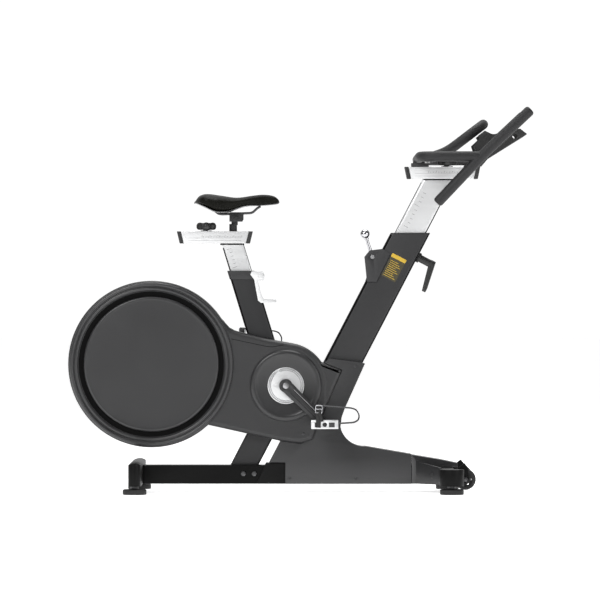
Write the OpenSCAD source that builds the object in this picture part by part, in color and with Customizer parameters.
// Indoor exercise bike: a leaning main post on a low base beam, a rear flywheel in a round
// housing, belt drive, magnetic resistance, and sliding posts for the saddle and the handlebar.
// Frame: +X towards the handlebar, +Y to the rider's left, +Z up, origin on the floor.

/* [Base] */
// Height of the base beam's underside above the floor
beam_bottom = 26.5; // [24:0.5:30]
// Height of the base beam
beam_height = 58.5; // [55:0.5:62]
// Half width of the base beam
beam_half_w = 40; // [36:1:40]
// Length of each cross stabilizer
stabilizer_length = 530; // [500:5:560]
// Diameter of a levelling foot
foot_d = 74; // [60:1:74]
// Diameter of a transport wheel
wheel_d = 65.6; // [60:0.2:66]

/* [Posts] */
// Forward lean of the main post from vertical
post_lean = 27.5; // [27:0.1:28]
// Depth of the main post, square to its axis
post_depth = 110.8; // [108:0.2:112]
// Height of the main post's top
post_top = 812.4; // [800:0.2:830]
// Backward lean of the seat tube from vertical
seat_lean = 17; // [16.8:0.1:17.2]
// Depth of the seat tube, square to its axis
seat_depth = 78; // [77:0.5:79]
// Height of the seat tube collar's top
seat_top = 696; // [690:1:700]

/* [Drive] */
// Crank length between the bottom bracket and the pedal axis
crank_length = 170; // [165:0.5:172]
// Angle of the right crank below the forward direction
crank_angle = 44.5; // [40:0.5:60]
// Radius of the large belt pulley on the crank
crank_pulley_r = 98; // [90:1:100]
// Radius of the small belt pulley on the flywheel axle
driven_pulley_r = 24.5; // [22:0.5:26]
// Radius of the flywheel
flywheel_r = 226; // [200:1:228]

/* [Housing] */
// Radius of the round rear housing
disc_r = 261.5; // [258:0.5:262]
// Distance from the middle plane to the housing's outer face
housing_half_w = 60; // [58:1:64]
// Distance from the middle plane to the lower shroud's outer face
shroud_half_w = 48; // [47:0.5:52]
// Wall of the moulded covers
cover_wall = 3; // [2.5:0.5:3]

/* [Hidden] */
$fn = 64;
HUGE = 2000;
// Side-view centres, given as [x, z]
CRANK = [-44.4, 335.5];
WHEEL_HUB = [-466.5, 402.9];
POST_TOP = [346.1, post_top];
SEAT_TOP = [-186.5, seat_top];
LEVER_PIVOT = [227.6, 739.3];
CARRIER_PIVOT = [-225, 440];
SADDLE_PIVOT = [-200, 863];
SEAT_LEVER_PIVOT = [-122, 680];

beam_top = beam_bottom + beam_height;
tube_wall = 3;
post_half_w = 30;
seat_half_w = 25;
strut_depth = 79;
// Centres of the feet and of the transport wheels, given as [x, y]
FOOT_X = [-513, 471];
foot_y = stabilizer_length / 2 - 38;
stem_r = 8;
wheel_axis = [514.6, 45.7];
wheel_y = 162;
running_gap = 0.05;
pod_r = 38;

// Pedals
pedal_drop = [crank_length * cos(crank_angle), -crank_length * sin(crank_angle)];
RIGHT_PEDAL = CRANK + pedal_drop;
LEFT_PEDAL = CRANK - pedal_drop;
arm_y = [76, 92];
pedal_y = [110, 204];

// Rails that carry the saddle and the handlebar, as bottom and top z and their end points
SEAT_RAIL = [[-366, 782], [-170, 782], [-161, 820], [-375, 820]];
BAR_RAIL = [[349, 985], [547, 985], [554.5, 1023], [341, 1023]];
rail_half_w = 25;
rail_wall = 4;
slot_half_w = 7;

// Handlebar
bar_z = 1050;
bar_half_w = 214;
bar_r = 16;
HORN = [[429.5, 909.4], [570.2, 1057.9], [711.3, 1190.4]];
horn_r = 12.5;
grip_r = 16.5;

// ---- shared shapes ----

// Extrudes a side-view outline, drawn as [x, z], from y0 to y1
module side(y0, y1) {
    translate([0, y1, 0]) rotate([90, 0, 0]) linear_extrude(height = y1 - y0) children();
}

// A round bar along Y at a side-view point
module pin(point, r, y0, y1) {
    side(y0, y1) translate(point) circle(r = r);
}

// A round bar between two points in space
module rod(a, b, r, $fn = $fn) {
    d = b - a;
    translate(a)
        rotate([0, acos(d[2] / norm(d)), atan2(d[1], d[0])])
            cylinder(h = norm(d), r = r);
}

// A rectangle with round corners, centred
module rounded_rect(w, h, r) {
    square([w - 2 * r, h], center = true);
    square([w, h - 2 * r], center = true);
    for (x = [-1, 1], y = [-1, 1])
        translate([x * (w / 2 - r), y * (h / 2 - r)]) circle(r = r);
}

// A box given by its lowest and highest corners
module block(low, high) {
    translate(low) cube(high - low);
}

// Points of an arc, as [x, z]
function arc(centre, r, from, to, steps) =
    [for (i = [0:steps]) let (a = from + (to - from) * i / steps) centre + r * [cos(a), sin(a)]];

// Moves each edge of a closed outline inwards; the outline runs anticlockwise
function edge_shift(a, b, t) = let (d = (b - a) / norm(b - a)) [a[0] - d[1] * t, a[1] + d[0] * t];
function crossing(p, u, q, v) =
    let (k = u[0] * v[1] - u[1] * v[0])
    abs(k) < 0.001 ? q : p + u * (((q[0] - p[0]) * v[1] - (q[1] - p[1]) * v[0]) / k);
function inset(points, t) =
    let (n = len(points))
    [for (i = [0:n - 1])
        let (a = points[(i + n - 1) % n], b = points[i], c = points[(i + 1) % n])
        crossing(edge_shift(a, b, t), b - a, edge_shift(b, c, t), c - b)];

// The band that wraps two pulleys
module pulley_band(c1, r1, c2, r2) {
    d = c2 - c1;
    a = atan2(d[1], d[0]);
    b = acos((r1 - r2) / norm(d));
    translate(c1) circle(r = r1, $fn = 128);
    translate(c2) circle(r = r2);
    polygon([c1 + r1 * [cos(a + b), sin(a + b)], c2 + r2 * [cos(a + b), sin(a + b)],
             c2 + r2 * [cos(a - b), sin(a - b)], c1 + r1 * [cos(a - b), sin(a - b)]]);
}

// Places children in the main post's own frame: z along the post, 0 at its top, x forward
module on_post() {
    translate([POST_TOP[0], 0, POST_TOP[1]]) rotate([0, post_lean, 0]) children();
}

// Places children in the seat tube's own frame: z along the tube, 0 at its collar's top
module on_seat_tube() {
    translate([SEAT_TOP[0], 0, SEAT_TOP[1]]) rotate([0, -seat_lean, 0]) children();
}

// Straight lengths of the four leaning tubes, before they are cut to length
module post_prism(grow, z0 = -900, z1 = 300) {
    on_post() translate([0, 0, z0]) linear_extrude(height = z1 - z0)
        rounded_rect(post_depth + 2 * grow, 2 * (post_half_w + grow), 10 + grow);
}

module seat_prism(grow, z0 = -420, z1 = 200) {
    on_seat_tube() translate([0, 0, z0]) linear_extrude(height = z1 - z0)
        rounded_rect(seat_depth + 2 * grow, 2 * (seat_half_w + grow), 8 + grow);
}

module strut_prism(grow) {
    translate([CRANK[0], 0, CRANK[1]]) rotate([0, post_lean, 0])
        translate([0, 0, -400]) linear_extrude(height = 420)
            rounded_rect(strut_depth + 2 * grow, 2 * (seat_half_w + grow), 8 + grow);
}

module between_heights(z0, z1) {
    intersection() {
        union() children();
        block([-HUGE, -HUGE, z0], [HUGE, HUGE, z1]);
    }
}

// ---- base ----

BEAM_SLEEVE = [[-137, beam_bottom], [-46, beam_bottom], [-46, 92], [-107.5, 92]];

module base_beam() {
    color("#202020") difference() {
        union() {
            block([-493, -beam_half_w, beam_bottom], [442.8, beam_half_w, beam_top]);
            side(-43, 43) polygon(BEAM_SLEEVE);
        }
        block([-600, 3 - beam_half_w, beam_bottom + 3], [500, beam_half_w - 3, beam_top - 3]);
        between_heights(beam_top, beam_top + 20) {
            post_prism(0.05);
            strut_prism(0.05);
        }
    }
}

module rear_stabilizer() {
    half = 19.5;
    color("#242424") difference() {
        intersection() {
            linear_extrude(height = 200) translate([FOOT_X[0], 0])
                rounded_rect(2 * half, stabilizer_length, half - 0.01);
            side(-300, 300) polygon(concat([[-533, beam_bottom], [-493.05, beam_bottom]],
                [[-493.05, 92]], arc([-513, 60], 37.7, 60, 120, 8), [[-533, 92]]));
        }
        for (y = [-foot_y, foot_y]) foot_bore(FOOT_X[0], y);
    }
}

module foot_bore(x, y) {
    translate([x, y, beam_bottom - 1]) cylinder(h = 47, r = stem_r + running_gap);
}

module front_stabilizer() {
    color("#242424") difference() {
        union() {
            block([443, -foot_y, beam_bottom], [479, foot_y, 78]);
            for (y = [-foot_y, foot_y])
                translate([FOOT_X[1], y, beam_bottom]) cylinder(h = 51.5, r = pod_r);
            for (s = [-1, 1], y = [wheel_y - 16, wheel_y + 13]) fork_plate(s, y);
        }
        for (y = [-foot_y, foot_y]) foot_bore(FOOT_X[1], y);
    }
}

// One cheek of a transport wheel's fork, 3 mm thick
module fork_plate(s, y) {
    outline = [[478, 34], [500, 32], [516, 34], [526, 46], [522, 84], [512, 96], [478, 70]];
    side(min(s * y, s * (y + 3)), max(s * y, s * (y + 3))) difference() {
        polygon(outline);
        translate(wheel_axis) circle(r = 4);
    }
}

module front_cover() {
    color("#3a3a3a") difference() {
        union() {
            hull() {
                block([351, -47, 27], [351.5, 47, 118]);
                block([440, -47, 27], [442.5, 47, 103]);
            }
            hull() {
                block([440, -47, 79], [442.5, 47, 103]);
                block([492, -42, 79], [495, 42, 92]);
            }
            for (s = [-1, 1]) hull() {
                block([364, min(s * 40, s * 47), 27], [366, max(s * 40, s * 47), 98]);
                block([440, min(s * 40, s * 130), 27], [442.5, min(s * 40, s * 130) + 90, 79]);
            }
        }
        block([300, -beam_half_w - 0.3, 0], [480, beam_half_w + 0.3, beam_top + 0.3]);
    }
}

module foot(x, y) {
    color("#1c1c1c") translate([x, y, 0]) {
        rotate_extrude() polygon([[0, 0], [foot_d / 2 - 2, 0], [foot_d / 2, 2],
            [foot_d / 2, 14], [foot_d / 2 - 3, 17], [0, 17]]);
        translate([0, 0, 16]) cylinder(h = 44, r = stem_r);
    }
}

module wheel(s) {
    color("#1a1a1a") difference() {
        translate([wheel_axis[0], s * wheel_y, wheel_axis[1]]) rotate([90, 0, 0]) rotate_extrude()
            polygon([[4.05, -12], [12, -12], [12, -8], [22, -8], [22, -12], [wheel_d / 2 - 3, -12],
                     [wheel_d / 2, -8], [wheel_d / 2, 8], [wheel_d / 2 - 3, 12], [22, 12],
                     [22, 8], [12, 8], [12, 12], [4.05, 12]]);
        for (a = [0:60:300])
            pin(wheel_axis + 17 * [cos(a), sin(a)], 3, s * wheel_y - 14, s * wheel_y + 14);
    }
}

// ---- posts and frame tubes ----

module main_post() {
    color("#2e2e2e") between_heights(beam_top, post_top) difference() {
        post_prism(0);
        post_prism(-tube_wall);
        // Slots in the rear wall where the brake cable goes in and comes out
        for (z = [-215, -560]) on_post() block([-70, -14, z], [-45, 14, z + 60]);
    }
}

module bar_post_sleeve() {
    color("#151515") difference() {
        union() {
            between_heights(post_top + 0.05, post_top + 3) post_prism(0, -80, 80);
            between_heights(700, post_top + 0.05) post_prism(-tube_wall - 0.1, -60, 80);
        }
        bar_post_prism(0.25, -200, 200);
    }
}

module bar_post_prism(grow, z0, z1) {
    on_post() translate([0, 0, z0]) linear_extrude(height = z1 - z0)
        rounded_rect(88 + 2 * grow, 46 + 2 * grow, 8);
}

module seat_post_prism(grow, z0, z1) {
    on_seat_tube() translate([0, 0, z0]) linear_extrude(height = z1 - z0)
        rounded_rect(67 + 2 * grow, 38 + 2 * grow, 7);
}

module rear_strut() {
    color("#2e2e2e") difference() {
        between_heights(beam_top, CRANK[1] + 20) strut_prism(0);
        between_heights(0, CRANK[1] - 60) strut_prism(-tube_wall);
        seat_prism(0.05);
        pin(CRANK, 25.05, -60, 60);
    }
}

module bottom_bracket_shell() {
    color("#303030") difference() {
        pin(CRANK, 25, -31, 31);
        pin(CRANK, 21.02, -40, 40);
    }
}

module ball_bearing(centre, y0) {
    difference() {
        pin(centre, 21, y0, y0 + 12);
        pin(centre, 10.05, y0 - 1, y0 + 13);
    }
}

module bearings() {
    color("silver") {
        for (y = [-30.5, 18.5]) ball_bearing(CRANK, y);
        for (y = [-31, 19]) ball_bearing(WHEEL_HUB, y);
    }
}

module seat_tube() {
    color("#2e2e2e") difference() {
        between_heights(CRANK[1] - 30, seat_top - 2) seat_prism(0, -420, 20);
        between_heights(CRANK[1] + 28, seat_top + 10) seat_prism(-tube_wall, -420, 60);
        pin(CRANK, 25.05, -60, 60);
    }
}

module seat_tube_collar() {
    color("#1d1d1d") difference() {
        union() {
            between_heights(669, seat_top) seat_prism(2, -60, 40);
            between_heights(620, 670) seat_prism(-tube_wall - 0.1, -80, 40);
            for (s = [-1, 1]) side(min(s * 12, s * 27), max(s * 12, s * 27)) hull() {
                translate(SEAT_LEVER_PIVOT) circle(r = 10);
                translate([-145, 680]) circle(r = 10);
            }
        }
        seat_tube_ring();
        seat_post_prism(0.25, -200, 100);
        pin(SEAT_LEVER_PIVOT, 4.05, -40, 40);
    }
}

// The wall of the seat tube, which the collar is cut around
module seat_tube_ring() {
    between_heights(600, seat_top - 2) difference() {
        seat_prism(0.05, -90, 40);
        seat_prism(-tube_wall - 0.05, -100, 60);
    }
}

// ---- flywheel supports ----

module stay_outline() {
    translate(WHEEL_HUB) circle(r = 32);
    polygon([[-466, 371], [-200, 330], [-114, 322], [-80, 400], [-190, 412], [-205, 470],
             [-236, 462], [-240, 424], [-466, 435]]);
}

module flywheel_stays() {
    color("#3a3a3a") for (s = [-1, 1]) difference() {
        union() {
            side(min(s * 25.05, s * 31), max(s * 25.05, s * 31)) stay_outline();
            pin(WHEEL_HUB, 32, min(s * 18.5, s * 31), max(s * 18.5, s * 31));
        }
        pin(WHEEL_HUB, 21.02, -40, 40);
        pin(CARRIER_PIVOT, 4.05, -40, 40);
        pin(CRANK, 26, -40, 40);
    }
}

module flywheel() {
    color("#6a6c70") translate([WHEEL_HUB[0], 0, WHEEL_HUB[1]]) rotate([90, 0, 0])
        rotate_extrude($fn = 128) polygon([[10.02, -17], [30, -17], [30, -4], [188, -4],
            [192, -12], [flywheel_r - 2, -12], [flywheel_r, -10], [flywheel_r, 10],
            [flywheel_r - 2, 12], [192, 12], [188, 4], [30, 4], [30, 17], [10.02, 17]]);
}

module flywheel_axle() {
    color("silver") {
        pin(WHEEL_HUB, 10, -52, 36);
        pin(WHEEL_HUB, driven_pulley_r, -51, -35);
    }
}

module drive_belt() {
    color("#111111") side(-50, -36) difference() {
        pulley_band(CRANK, crank_pulley_r + 3.8, WHEEL_HUB, driven_pulley_r + 3.8);
        pulley_band(CRANK, crank_pulley_r + 0.3, WHEEL_HUB, driven_pulley_r + 0.3);
    }
}

// Magnet carrier: two arms around the rim, joined above it, with magnets on their inner faces
module magnet_carrier() {
    outline = concat(arc(WHEEL_HUB, 240, 14, 46, 8), arc(WHEEL_HUB, 196, 46, 22, 6));
    color("#8a8d90") difference() {
        union() {
            for (s = [-1, 1]) side(min(s * 15.5, s * 18), max(s * 15.5, s * 18)) {
                polygon(outline);
                translate(CARRIER_PIVOT) circle(r = 12);
            }
            for (s = [-1, 1], a = [26, 36, 44])
                pin(WHEEL_HUB + 212 * [cos(a), sin(a)], 10, min(s * 13, s * 16), max(s * 13, s * 16));
            side(-18, 18) polygon(concat(arc(WHEEL_HUB, 240, 24, 46, 6), arc(WHEEL_HUB, 235, 46, 24, 6)));
            pin(CARRIER_PIVOT, 4, -31, 31);
        }
    }
}

// ---- covers ----

// Belt cover ahead of the disc: a convex body around the crank, and a wedge up to the post
HUMP_R = 134;
COVER_BODY = concat([[-420, 240], [-286, 211], [-64, 162], [2, 154], [35, 167], [50, 196], [88, 285]],
    arc(CRANK, HUMP_R, 0, 79, 12), [[-224, 510], [-420, 549]]);
COVER_WEDGE = [[50, 196], [132, 384], [64, 411], [-44, 335]];
bevel = 16;

module bevelled(points, half_w, s) {
    hull() {
        side(min(0, s * (half_w - bevel)), max(0, s * (half_w - bevel))) polygon(points);
        side(min(0, s * half_w), max(0, s * half_w)) polygon(inset(points, bevel));
    }
}

module bevelled_disc(r, half_w, s) {
    translate([WHEEL_HUB[0], 0, WHEEL_HUB[1]]) rotate([s * -90, 0, 0])
        rotate_extrude($fn = 128) polygon([[0, 0], [r, 0], [r, half_w - 6], [r - 6, half_w],
            [0, half_w]]);
}

module housing_body(shrink, s) {
    half_w = housing_half_w - shrink;
    bevelled_disc(disc_r - shrink, half_w, s);
    bevelled(inset(COVER_BODY, shrink), half_w, s);
    bevelled(inset(COVER_WEDGE, shrink), half_w, s);
}

// Half of the housing, open at the middle plane; s is -1 on the right and 1 on the left
module housing(s) {
    difference() {
        union() {
            difference() {
                housing_body(0, s);
                housing_body(cover_wall, s);
            }
            crank_dish(s);
        }
        pin(WHEEL_HUB, 203, -70, 70);
        pin(CRANK, 60, -80, 80);
        post_prism(0.4);
        strut_prism(0.4);
        seat_prism(0.4);
        block([-HUGE, -0.1, 0], [HUGE, 0.1, HUGE]);
    }
}

// Raised ring around the crank
module crank_dish(s) {
    w = housing_half_w;
    translate([CRANK[0], 0, CRANK[1]]) rotate([s * -90, 0, 0]) rotate_extrude($fn = 128)
        polygon([[58, w - 3], [112, w - 3], [112, w], [108, w + 5], [101, w + 8], [94, w + 7],
                 [66, w + 2], [58, w + 2]]);
}

module right_housing() { color("#454545") housing(-1); }
module left_housing() { color("#454545") housing(1); }

module disc_cover(s) {
    w = housing_half_w + 0.05;
    color("#454545") translate([WHEEL_HUB[0], 0, WHEEL_HUB[1]]) rotate([s * -90, 0, 0])
        rotate_extrude($fn = 128) polygon([[0, w + 6], [202, w + 6], [202, w], [255, w],
            [255, w + 4], [252, w + 8], [248, w + 9.5], [244, w + 7], [242, w + 5], [239, w + 8],
            [234, w + 8], [230, w + 5], [226, w + 2.5], [220, w + 2], [217, w + 5], [213, w + 8.5],
            [209, w + 9.5], [205, w + 9], [0, w + 9]]);
}

module right_disc_cover() { disc_cover(-1); }
module left_disc_cover() { disc_cover(1); }

// Lower shroud around the foot of the post, seen from the side, anticlockwise
SHROUD = concat([[-46, beam_bottom], [349.5, beam_bottom], [349.5, 119.8]],
    [[246, 137]], arc([201, 219], 75, -86, -170, 10),
    [[131, 236], [141, 264], [204, 404], [192, 408], [90, 420], [0, 300], [-62, 161], [-97, 94.5], [-46, 94]]);

module shroud(s) {
    color("#454545") difference() {
        side(min(s * 0.1, s * shroud_half_w), max(s * 0.1, s * shroud_half_w)) polygon(SHROUD);
        side(min(0, s * (shroud_half_w - cover_wall)), max(0, s * (shroud_half_w - cover_wall)))
            polygon(inset(SHROUD, cover_wall));
        block([-100, -45, 0], [360, 45, beam_top + 1]);
        block([-200, -beam_half_w - 4, 0], [-45, beam_half_w + 4, 92.5]);
        side(-HUGE, HUGE) polygon(inset(COVER_BODY, -1));
        side(-HUGE, HUGE) polygon(inset(COVER_WEDGE, -1));
        post_prism(0.4);
    }
}

module right_shroud() { shroud(-1); }
module left_shroud() { shroud(1); }

// ---- lever bracket, cable and fasteners ----

LEVER_BRACKET = [[211, 661], [240, 661], [283, 748], [260, 765], [219, 760], [203, 740], [205, 721]];

module lever_bracket() {
    color("#1e1e1e") difference() {
        side(-34.2, 34.2) polygon(LEVER_BRACKET);
        side(-26, 26) polygon(inset(LEVER_BRACKET, 4));
        post_prism(0.1);
        pin(LEVER_PIVOT, 4.05, -50, 50);
        // Way for the brake cable
        block([190, -3, 650], [222, 3, 708]);
        // Slot that the lever swings in
        block([150, -12, 735], [300, 12, 800]);
    }
}

// Points of the brake cable, from inside the lever bracket to the magnet carrier's stop
CABLE = [[219, 0, 700], [213, 0, 680], [206, 0, 658], [201, 0, 639], [183, 0, 604],
         [165, 0, 569.5], [142, 0, 525], [119, 0, 481], [96, 0, 437], [74, 0, 396], [62, 1, 378],
         [49, 6, 366], [34, 20, 364], [14, 35, 372], [-10, 41, 384], [-40, 41, 392],
         [-80, 41, 400], [-120, 41, 412], [-160, 41, 430], [-190, 41, 450], [-204, 40, 466]];
cable_r = 2.5;

function unit(v) = v / norm(v);
function path_dir(p, i) = unit(p[min(i + 1, len(p) - 1)] - p[max(i - 1, 0)]);

// A tube with eight sides that follows a list of points
module swept_tube(p, r) {
    sides = 8;
    rings = [for (i = [0:len(p) - 1])
        let (t = path_dir(p, i), u = unit(cross(t, [0.02, 1, 0.05])), v = cross(t, u))
        [for (k = [0:sides - 1]) p[i] + r * (cos(45 * k) * u + sin(45 * k) * v)]];
    last = len(p) - 1;
    polyhedron(
        points = [for (ring = rings) each ring],
        faces = concat(
            [[for (k = [0:sides - 1]) k]],
            [for (i = [0:last - 1], k = [0:sides - 1]) let (n = (k + 1) % sides)
                [i * sides + k, (i + 1) * sides + k, (i + 1) * sides + n, i * sides + n]],
            [[for (k = [sides - 1:-1:0]) last * sides + k]]));
}

module brake_cable() {
    color("#101010") swept_tube(CABLE, cable_r);
}

// Hexagonal bolt head or nut along Y
module hex_head(point, r, y0, y1) {
    side(y0, y1) translate(point) circle(r = r, $fn = 6);
}

module fasteners() {
    color("#4a4c4e") {
        for (s = [-1, 1]) {
            for (p = [[176, 42], [-32, 43], [174, 396]])
                pin(p, 4.5, min(s * 48.05, s * 50), max(s * 48.05, s * 50));
            pin([10, 184], 4.5, min(s * 60.05, s * 62), max(s * 60.05, s * 62));
            for (p = [[-178, 58], [-144, 58]])
                hex_head(p, 8, min(s * (beam_half_w + 0.05), s * 46), max(s * (beam_half_w + 0.05), s * 46));
            // Axle bolts of the transport wheels
            pin(wheel_axis, 4, min(s * 145, s * 179), max(s * 145, s * 179));
            hex_head(wheel_axis, 8, min(s * 178.05, s * 183), max(s * 178.05, s * 183));
        }
        // Lock nuts on the foot stems
        for (x = FOOT_X, y = [-foot_y, foot_y]) translate([x, y, 19]) difference() {
            cylinder(h = 7.4, r = 14, $fn = 6);
            translate([0, 0, -1]) cylinder(h = 10, r = stem_r + running_gap);
        }
    }
}

// ---- crank and pedals ----

module crank_spindle() {
    color("silver") {
        pin(CRANK, 10, -91, 91);
        // Carrier for the belt pulley
        pin(CRANK, 30, -50, -36);
    }
}

module crank_pulley() {
    color("#3c3c3c") difference() {
        pin(CRANK, crank_pulley_r, -51, -35, $fn = 128);
        pin(CRANK, 30.05, -60, -30);
        for (a = [0:60:300]) pin(CRANK + 64 * [cos(a), sin(a)], 20, -60, -30);
    }
}

// s is -1 on the right and 1 on the left
module crank_arm(s, pedal) {
    y0 = min(s * arm_y[0], s * arm_y[1]);
    y1 = max(s * arm_y[0], s * arm_y[1]);
    u = unit(pedal - CRANK);
    n = [-u[1], u[0]];
    color("#303030") difference() {
        union() {
            pin(CRANK, 21, y0, y1);
            pin(pedal, 16, y0, y1);
            side(y0, y1) polygon([CRANK + n * 20, CRANK - n * 20, pedal - n * 14, pedal + n * 14]);
        }
        pin(CRANK, 10.02, -100, 100);
    }
    // Pedal spindle, screwed into the arm
    color("silver") pin(pedal, 7, min(s * arm_y[1], s * 198), max(s * arm_y[1], s * 198));
}

module right_crank_arm() { crank_arm(-1, RIGHT_PEDAL); }
module left_crank_arm() { crank_arm(1, LEFT_PEDAL); }

module crank_trim_discs() {
    color("#d8dadc") for (s = [-1, 1]) difference() {
        pin(CRANK, 57.5, min(s * 56, s * 66), max(s * 56, s * 66), $fn = 128);
        pin(CRANK, 10.02, -80, 80);
        // Stepped rim
        difference() {
            pin(CRANK, 60, min(s * 63, s * 70), max(s * 63, s * 70));
            pin(CRANK, 49, -80, 80);
        }
    }
}

// Pedal: a cage with windows around a hub on the pedal spindle
module pedal(s, centre) {
    y0 = min(s * pedal_y[0], s * pedal_y[1]);
    y1 = max(s * pedal_y[0], s * pedal_y[1]);
    x = centre[0];
    z = centre[1];
    color("#c8cacc") difference() {
        union() {
            difference() {
                block([x - 42, y0, z - 13], [x + 42, y1, z + 13]);
                block([x - 38, y0 + 3, z - 14], [x + 38, y1 - 3, z + 14]);
                for (dx = [-31, 13]) block([x + dx, y0 - 1, z - 8], [x + dx + 18, y1 + 1, z + 7]);
            }
            pin(centre, 13, y0, y1);
            block([x - 40, (y0 + y1) / 2 - 20, z - 7], [x + 40, (y0 + y1) / 2 + 20, z + 7]);
        }
        pin(centre, 7 + running_gap, -300, 300);
    }
}

module right_pedal() { pedal(-1, RIGHT_PEDAL); }
module left_pedal() { pedal(1, LEFT_PEDAL); }

// Toe cage: two bent wires and the strap that closes over the foot
CAGE_WIRE = [[44.1, 3], [92, 6], [106, 14], [108, 30], [98, 46], [84, 51], [-14, 58]];

// A wire bent in the side view, drawn flat
module stroke(points, r) {
    for (i = [0:len(points) - 2]) hull() {
        translate(points[i]) circle(r = r);
        translate(points[i + 1]) circle(r = r);
    }
}

module toe_cage(s, centre) {
    mid = s * (pedal_y[0] + pedal_y[1]) / 2;
    color("#3a3b3d") {
        for (dy = [-26, 26]) side(mid + dy - 2, mid + dy + 2)
            translate(centre) stroke(CAGE_WIRE, 2, $fn = 16);
        for (i = [1, 4]) let (p = centre + CAGE_WIRE[i])
            block([p[0] - 1.3, mid - 26, p[1] - 1.3], [p[0] + 1.3, mid + 26, p[1] + 1.3]);
    }
    color("#151515") {
        for (dy = [-50, 48]) block([centre[0] - 28, mid + dy, centre[1] - 8],
            [centre[0] - 12, mid + dy + 2, centre[1] + 62]);
        block([centre[0] - 28, mid - 50, centre[1] + 60.2], [centre[0] - 12, mid + 50, centre[1] + 62.2]);
    }
}

module right_toe_cage() { toe_cage(-1, RIGHT_PEDAL); }
module left_toe_cage() { toe_cage(1, LEFT_PEDAL); }

// ---- saddle ----

// Rail with a slot along its top; the ends are cut by the outline
module slotted_rail(outline) {
    z0 = outline[0][1];
    z1 = outline[2][1];
    difference() {
        side(-rail_half_w, rail_half_w) polygon(outline);
        block([-HUGE, rail_wall - rail_half_w, z0 + rail_wall], [HUGE, rail_half_w - rail_wall, z1 - 5]);
        block([-HUGE, -slot_half_w, z1 - 6], [HUGE, slot_half_w, z1 + 1]);
    }
}

// End caps of a rail, 12.5 mm thick
module rail_caps(outline) {
    t = 12.5;
    g = 0.1;
    b = outline[0];
    c = outline[1];
    d = outline[2];
    a = outline[3];
    side(-rail_half_w - 2, rail_half_w + 2) {
        polygon([b - [t, 0], b - [g, 0], a - [g, 0], a - [t, 0]]);
        polygon([c + [g, 0], c + [t, 0], d + [t, 0], d + [g, 0]]);
    }
}

module seat_post() {
    color("#c9cbcd") difference() {
        between_heights(300, SEAT_RAIL[0][1]) seat_post_prism(0, -235, 150);
        between_heights(300, SEAT_RAIL[0][1] - 5) seat_post_prism(-3, -260, 150);
    }
}

module seat_rail() { color("#d4d6d8") slotted_rail(SEAT_RAIL); }
module seat_rail_caps() { color("#161616") rail_caps(SEAT_RAIL); }

// Sliding block inside a rail, from x0 to x1, with its neck in the slot
module slider(outline, x0, x1) {
    z0 = outline[0][1];
    z1 = outline[2][1];
    block([x0, -17, z0 + 8], [x1, 17, z1 - 5.4]);
    block([x0, 0.4 - slot_half_w, z1 - 8], [x1, slot_half_w - 0.4, z1 + 0.4]);
}

SEAT_KNOB = [-295, 820.4];
seat_stem_x = -210.6;

module seat_carriage() {
    color("#b9bbbd") difference() {
        union() {
            slider(SEAT_RAIL, -322, -192);
            translate([seat_stem_x, 0, 820.4]) cylinder(h = 23, r = 12.3);
            pin(SADDLE_PIVOT, 11, -8, 8);
            block([-216, -8, 840], [-196, 8, 860]);
        }
        translate([SEAT_KNOB[0], 0, 780]) cylinder(h = 60, r = 5.05);
        pin(SADDLE_PIVOT, 4.05, -20, 20);
    }
}

// Clamping knob with lobes; its screw goes down into the slider
module clamp_knob(at) {
    color("#181818") translate([at[0], 0, at[1]]) {
        translate([0, 0, 0.2]) cylinder(h = 2.2, r = 19);
        translate([0, 0, 1]) cylinder(h = 8, r = 10);
        translate([0, 0, 7]) cylinder(h = 22, r = 24);
        for (a = [0:60:300]) rotate([0, 0, a]) translate([23.5, 0, 7]) cylinder(h = 17, r = 7.5);
        translate([0, 0, -24]) cylinder(h = 25, r = 5);
    }
}

module seat_knob() { clamp_knob(SEAT_KNOB); }

SADDLE_TOP = [[-65, 909], [-66, 920], [-83, 932], [-115, 937], [-150, 933], [-197, 926], [-240, 932],
              [-283, 938], [-305, 936], [-318, 930], [-333, 909]];
SADDLE_UNDER = [[-306, 904], [-268, 888], [-251, 885], [-234, 885], [-197, 897], [-165, 903], [-115, 905]];

// Half width of the saddle along its length
function saddle_half(x) = 24 + 74 * pow(min(1, max(0, (-x - 110) / 150)), 1.6);
SADDLE_PLAN = let (xs = [for (i = [0:20]) -65 - i * 268 / 20])
    concat([for (x = xs) [x, saddle_half(x) * sqrt(max(0, min(1, (333 + x) / 40 + 0.02, (-65 - x) / 20 + 0.1)))]],
           [for (i = [20:-1:0]) let (x = xs[i])
               [x, -saddle_half(x) * sqrt(max(0, min(1, (333 + x) / 40 + 0.02, (-65 - x) / 20 + 0.1)))]]);

module saddle_pad() {
    color("#1c1c1a") intersection() {
        side(-150, 150) polygon(concat(SADDLE_TOP, SADDLE_UNDER));
        translate([0, 0, 850]) linear_extrude(height = 120) polygon(SADDLE_PLAN);
    }
}

module saddle_shell() {
    lower = [for (p = SADDLE_UNDER) p - [0, 5]];
    color("#141414") intersection() {
        side(-150, 150) polygon(concat([for (i = [len(SADDLE_UNDER) - 1:-1:0]) SADDLE_UNDER[i] - [0, 0.1]],
                                       lower));
        translate([-13, 0, 850]) scale([0.93, 0.93, 0.93]) linear_extrude(height = 120) polygon(SADDLE_PLAN);
    }
}

// Two bent wires under the saddle
RAIL_WIRE = [[-262, 878], [-246, 874], [-150, 878], [-132, 896]];

module saddle_rails() {
    color("#9a9c9e") for (y = [-22, 22], i = [0:len(RAIL_WIRE) - 2])
        rod([RAIL_WIRE[i][0], y, RAIL_WIRE[i][1]], [RAIL_WIRE[i + 1][0], y, RAIL_WIRE[i + 1][1]], 3.5,
            $fn = 12);
}

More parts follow.
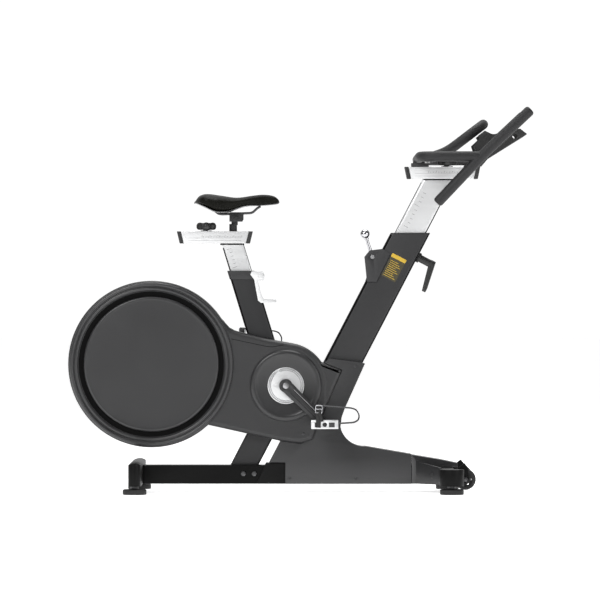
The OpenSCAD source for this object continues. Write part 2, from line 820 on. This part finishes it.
module saddle_clamp() {
    color("#2a2a2a") difference() {
        union() {
            for (s = [-1, 1]) side(min(s * 8.4, s * 30), max(s * 8.4, s * 30))
                polygon([[-222, 851], [-182, 851], [-178, 858], [-178, 880], [-220, 880], [-222, 876]]);
            pin(SADDLE_PIVOT, 4, -33, 33);
        }
        for (y = [-22, 22]) rod([-246, y, 874], [-150, y, 878], 3.6);
    }
}

module seat_clamp_lever() {
    outline = [[-152, 694], [-156, 684], [-144, 668], [-132, 602], [-122, 595], [-74, 596], [-74, 606],
               [-114, 608], [-120, 618], [-132, 664], [-114, 666], [-110, 682], [-118, 694]];
    color("#d4d6d8") difference() {
        union() {
            side(-37, -28) polygon(outline);
            pin(SEAT_LEVER_PIVOT, 8, -39, -28);
            pin(SEAT_LEVER_PIVOT, 4, -38, 31);
        }
    }
}

// ---- handlebar ----

module bar_post() {
    color("#c9cbcd") difference() {
        between_heights(500, BAR_RAIL[0][1]) bar_post_prism(0, -160, 260);
        between_heights(500, BAR_RAIL[0][1] - 5) bar_post_prism(-3, -180, 260);
    }
}

module bar_rail() { color("#d4d6d8") slotted_rail(BAR_RAIL); }
module bar_rail_caps() { color("#161616") rail_caps(BAR_RAIL); }

BAR_KNOB = [463.5, 1023.4];

module bar_carriage() {
    color("#1c1c1c") difference() {
        union() {
            slider(BAR_RAIL, 350, 487);
            block([350, -28, 1023.4], [405, 28, 1034.6]);
            block([356, -28, 1034], [392, 28, 1042]);
        }
        translate([BAR_KNOB[0], 0, 990]) cylinder(h = 50, r = 5.05);
        rod([374, -60, bar_z], [374, 60, bar_z], bar_r + 0.05);
    }
}

module bar_knob() { clamp_knob(BAR_KNOB); }

corner_r = 40;
rear_x = 374;
cross_x = 404;
AERO = [[404, 1050], [461, 1069], [577, 1157]];
aero_half_w = 58;

function at_y(p, y) = [p[0], y, p[1]];

module bar_corner(s) {
    translate([rear_x + corner_r, s * (bar_half_w - corner_r), bar_z]) rotate([0, 0, s > 0 ? 90 : 180])
        rotate_extrude(angle = 90) translate([corner_r, 0]) circle(r = bar_r);
}

// Half ring that closes the raised inner loop at its tip
module aero_tip() {
    d = unit(AERO[2] - AERO[1]);
    c = AERO[2] - d * aero_half_w;
    translate(at_y(c, 0)) rotate([0, -atan2(d[1], d[0]), 0]) rotate([0, 0, -90])
        rotate_extrude(angle = 180) translate([aero_half_w, 0]) circle(r = 15.5);
}

module handlebar() {
    $fn = 28;
    d = unit(AERO[2] - AERO[1]);
    c = AERO[2] - d * aero_half_w;
    color("#2b2b2b") {
        rod([rear_x, corner_r - bar_half_w, bar_z], [rear_x, bar_half_w - corner_r, bar_z], bar_r);
        rod([cross_x, -bar_half_w, bar_z], [cross_x, bar_half_w, bar_z], 13);
        rod([572, -bar_half_w, 1057], [572, bar_half_w, 1057], 10);
        for (s = [-1, 1]) {
            y = s * bar_half_w;
            bar_corner(s);
            rod([rear_x + corner_r, y, bar_z], [562, y, bar_z], bar_r);
            rod(at_y(HORN[0], y), at_y(HORN[1], y), horn_r);
            rod(at_y(HORN[1], y), at_y(HORN[2], y), horn_r);
            translate(at_y(HORN[1], y)) sphere(r = horn_r + 0.2);
            rod(at_y(AERO[0], s * aero_half_w), at_y(AERO[1], s * aero_half_w), 15.5);
            rod(at_y(AERO[1], s * aero_half_w), at_y(c, s * aero_half_w), 15.5);
            translate(at_y(AERO[1], s * aero_half_w)) sphere(r = 15.7);
        }
        aero_tip();
    }
}

// Foam grips over the long outer bars
module grips() {
    $fn = 12;
    color("#262626") for (s = [-1, 1]) {
        y = s * bar_half_w;
        difference() {
            union() {
                for (i = [0, 1]) rod(at_y(HORN[i], y), at_y(HORN[i + 1], y), grip_r);
                translate(at_y(HORN[1], y)) sphere(r = grip_r + 0.2);
                translate(at_y(HORN[2], y)) sphere(r = grip_r + 0.2);
            }
            for (i = [0, 1]) rod(at_y(HORN[i], y), at_y(HORN[i + 1], y), horn_r + 0.6);
            translate(at_y(HORN[1], y)) sphere(r = horn_r + 0.8);
            rod([400, y, bar_z], [562, y, bar_z], bar_r + 0.6);
            rod([572, -y, 1057], [572, y, 1057], 10.4);
        }
    }
}

// Cheek of the tablet bracket, seen from the side
TABLET_CHEEK = concat([[542, 1091], [566, 1020], [588, 1046], [711, 1123], [689, 1140], [631, 1133]],
    arc([606, 1148], 25, -60, -110, 5), [[578, 1134], [557, 1118], [562, 1110]]);
cheek_y = [100, 104];

module tablet_bracket() {
    color("#222222") difference() {
        union() {
            for (s = [-1, 1]) side(min(s * cheek_y[0], s * cheek_y[1]), max(s * cheek_y[0], s * cheek_y[1]))
                polygon(TABLET_CHEEK);
            // Panel that carries a tablet, between the cheeks
            side(-cheek_y[0] - 1, cheek_y[0] + 1)
                polygon([[594, 1050], [708, 1121], [704, 1124.5], [590, 1053.5]]);
            // Ledge at its lower end
            side(-cheek_y[0] - 1, cheek_y[0] + 1)
                polygon([[590, 1053.5], [585.5, 1060.1], [582.9, 1058.5], [587.5, 1051],
                    [591, 1048.2], [594, 1050]]);
        }
        pin([672, 1117], 8, -200, 200);
        rod([572, -200, 1057], [572, 200, 1057], 10.05);
    }
}

// ---- levers ----

module post_clamp_lever() {
    color("#2a2a2a") on_post() translate([0, 0, -54]) rotate([0, 90, 0]) {
        translate([0, 0, 55.7]) cylinder(h = 8, r = 16);
        translate([0, 0, 60]) cylinder(h = 46, r = 12);
        hull() {
            translate([0, 0, 98]) cylinder(h = 16, r = 13, $fn = 32);
            translate([80, 0, 116]) cylinder(h = 12, r = 8, $fn = 32);
        }
    }
}

module resistance_lever() {
    ball = [204.9, 811.8];
    u = unit(ball - LEVER_PIVOT);
    n = [-u[1], u[0]];
    color("#d0d2d4") {
        pin(LEVER_PIVOT, 12, -7, 7);
        pin(LEVER_PIVOT, 4, -38, 38);
        for (s = [-1, 1]) hex_head(LEVER_PIVOT, 7, min(s * 34.5, s * 39), max(s * 34.5, s * 39));
        side(-3, 3) polygon([LEVER_PIVOT + n * 8, LEVER_PIVOT - n * 8, LEVER_PIVOT - u * 13.5 - n * 4,
                             LEVER_PIVOT - u * 13.5 + n * 4]);
        rod(at_y(LEVER_PIVOT, 0), at_y(ball, 0), 5);
        translate(at_y(ball, 0)) sphere(r = 15.4);
    }
}

// ---- assembly ----

base_beam();
rear_stabilizer();
front_stabilizer();
front_cover();
main_post();
bar_post_sleeve();
rear_strut();
bottom_bracket_shell();
bearings();
seat_tube();
seat_tube_collar();
flywheel_stays();
right_housing();
left_housing();
right_disc_cover();
left_disc_cover();
right_shroud();
left_shroud();
drive_belt();
lever_bracket();
brake_cable();
fasteners();
crank_spindle();
crank_pulley();
right_crank_arm();
left_crank_arm();
crank_trim_discs();
right_pedal();
right_toe_cage();
left_pedal();
left_toe_cage();
flywheel();
flywheel_axle();
magnet_carrier();
seat_post();
seat_rail();
seat_rail_caps();
seat_carriage();
seat_knob();
saddle_clamp();
saddle_rails();
saddle_shell();
saddle_pad();
seat_clamp_lever();
bar_post();
bar_rail();
bar_rail_caps();
bar_carriage();
bar_knob();
handlebar();
grips();
tablet_bracket();
post_clamp_lever();
resistance_lever();
foot(FOOT_X[0], -foot_y);  // rear_right_foot
foot(FOOT_X[0], foot_y);  // rear_left_foot
foot(FOOT_X[1], -foot_y);  // front_right_foot
foot(FOOT_X[1], foot_y);  // front_left_foot
wheel(-1);  // right_wheel
wheel(1);  // left_wheel
